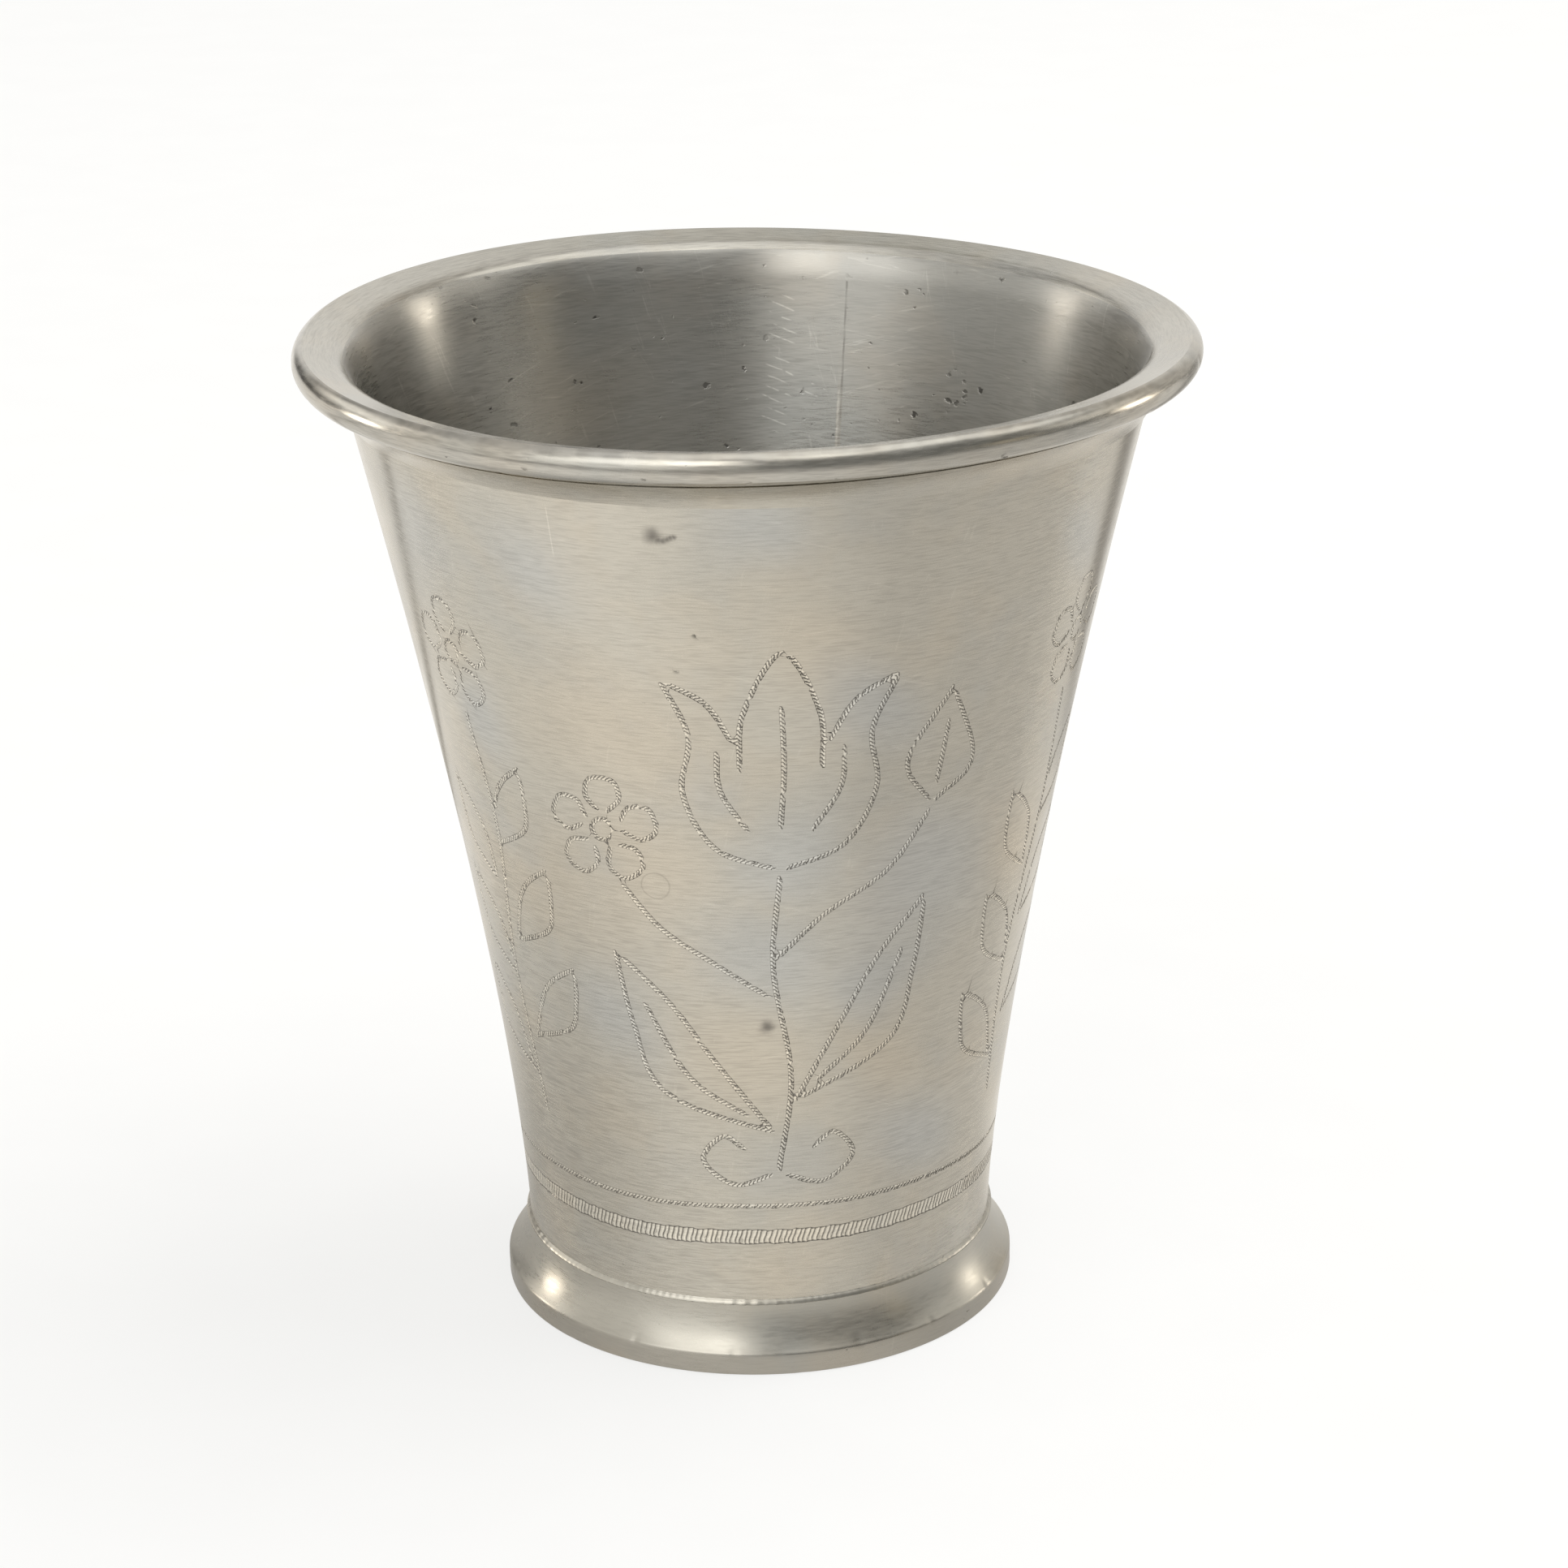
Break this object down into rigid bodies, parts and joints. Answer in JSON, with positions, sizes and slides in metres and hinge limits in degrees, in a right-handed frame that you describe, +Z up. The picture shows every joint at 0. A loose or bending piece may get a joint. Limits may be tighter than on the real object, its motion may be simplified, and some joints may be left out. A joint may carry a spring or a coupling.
{
  "type": "pewter beaker",
  "caption": "Flaring pewter drinking beaker with a beaded lip, a turned spreading foot and a soldered sheet wall engraved in wriggle-work.",
  "frame": {"origin": "on the axis, at the level the foot stands on", "axes": "+Z up along the axis, -Y the front seen in the picture, +X to the viewer's right"},
  "size_m": [0.1, 0.1, 0.1135],
  "materials": {
    "wall_pewter": "satin pewter, turned and worn",
    "rim_pewter": "polished pewter, worn bright",
    "foot_pewter": "turned pewter, half bright",
    "base_pewter": "dull turned pewter",
    "solder": "dull soft solder"
  },
  "bodies": {
    "root": {"body_wall": "wall_pewter", "seam_solder": "solder", "rim_moulding": "rim_pewter", "rim_solder": "solder", "foot_ring": "foot_pewter", "foot_solder": "solder", "base_disc": "base_pewter", "base_solder": "solder"}
  },
  "joints": []
}
